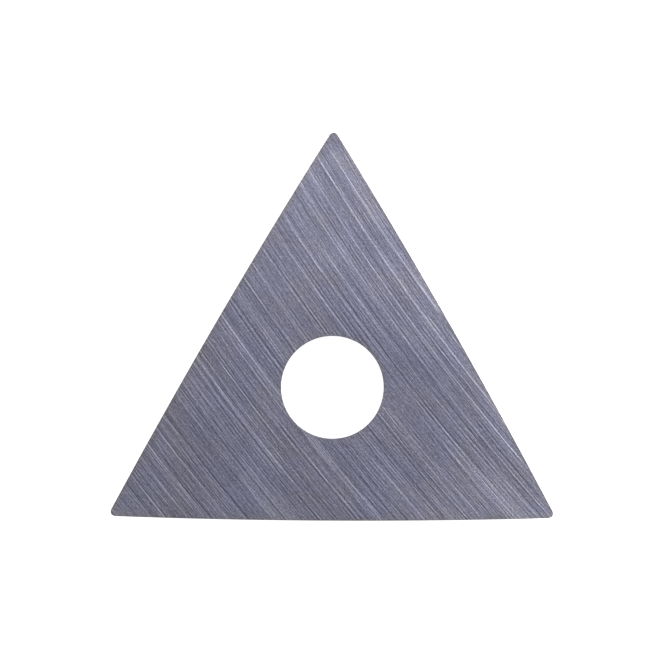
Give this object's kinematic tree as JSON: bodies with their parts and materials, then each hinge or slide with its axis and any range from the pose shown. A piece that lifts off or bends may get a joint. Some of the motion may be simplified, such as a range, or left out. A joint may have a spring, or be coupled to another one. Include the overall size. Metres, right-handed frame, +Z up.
{
  "type": "scraper blade",
  "caption": "Flat triangular scraper blade with three slightly bowed cutting edges, relieved flanks, rounded corners and a round central screw hole.",
  "frame": {"origin": "where the axis of the central screw hole meets the back face, on which the blade lies", "axes": "+Z up along the hole to the wide face, +Y to one corner, +X along the opposite cutting edge"},
  "size_m": [0.025, 0.0219, 0.002],
  "materials": {
    "ground_carbide": "wheel-ground cemented carbide, dull blue-grey, with long curved grinding lines across the faces"
  },
  "bodies": {
    "root": {"scraper_blade": "ground_carbide"}
  },
  "joints": []
}
